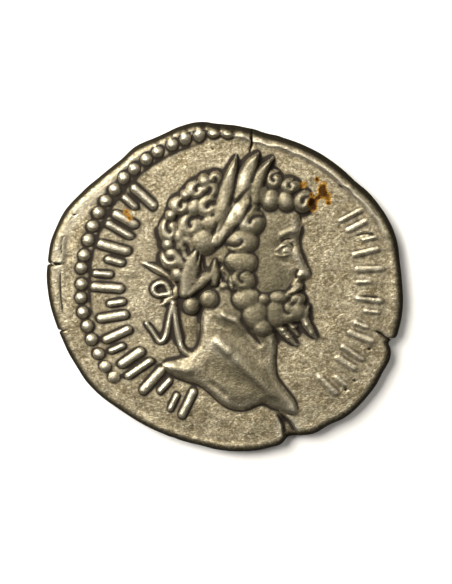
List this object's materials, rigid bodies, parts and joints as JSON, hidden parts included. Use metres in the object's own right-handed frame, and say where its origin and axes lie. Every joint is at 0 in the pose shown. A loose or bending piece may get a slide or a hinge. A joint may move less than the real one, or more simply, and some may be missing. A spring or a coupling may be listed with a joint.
{
  "type": "denarius coin",
  "caption": "Worn hand-struck silver coin with a bearded laurel-wreathed head, bead border and rows of plain strokes, irregular edge with small cracks, lying on its reverse.",
  "frame": {"origin": "middle of the coin's outline, on the surface it lies on", "axes": "+Z out of the face with the head, +Y to the top of the head, +X the way the head looks"},
  "size_m": [0.0192, 0.0178, 0.0018],
  "materials": {
    "silver": "worn toned silver with dark recesses"
  },
  "bodies": {
    "root": {"coin": "silver"}
  },
  "joints": []
}
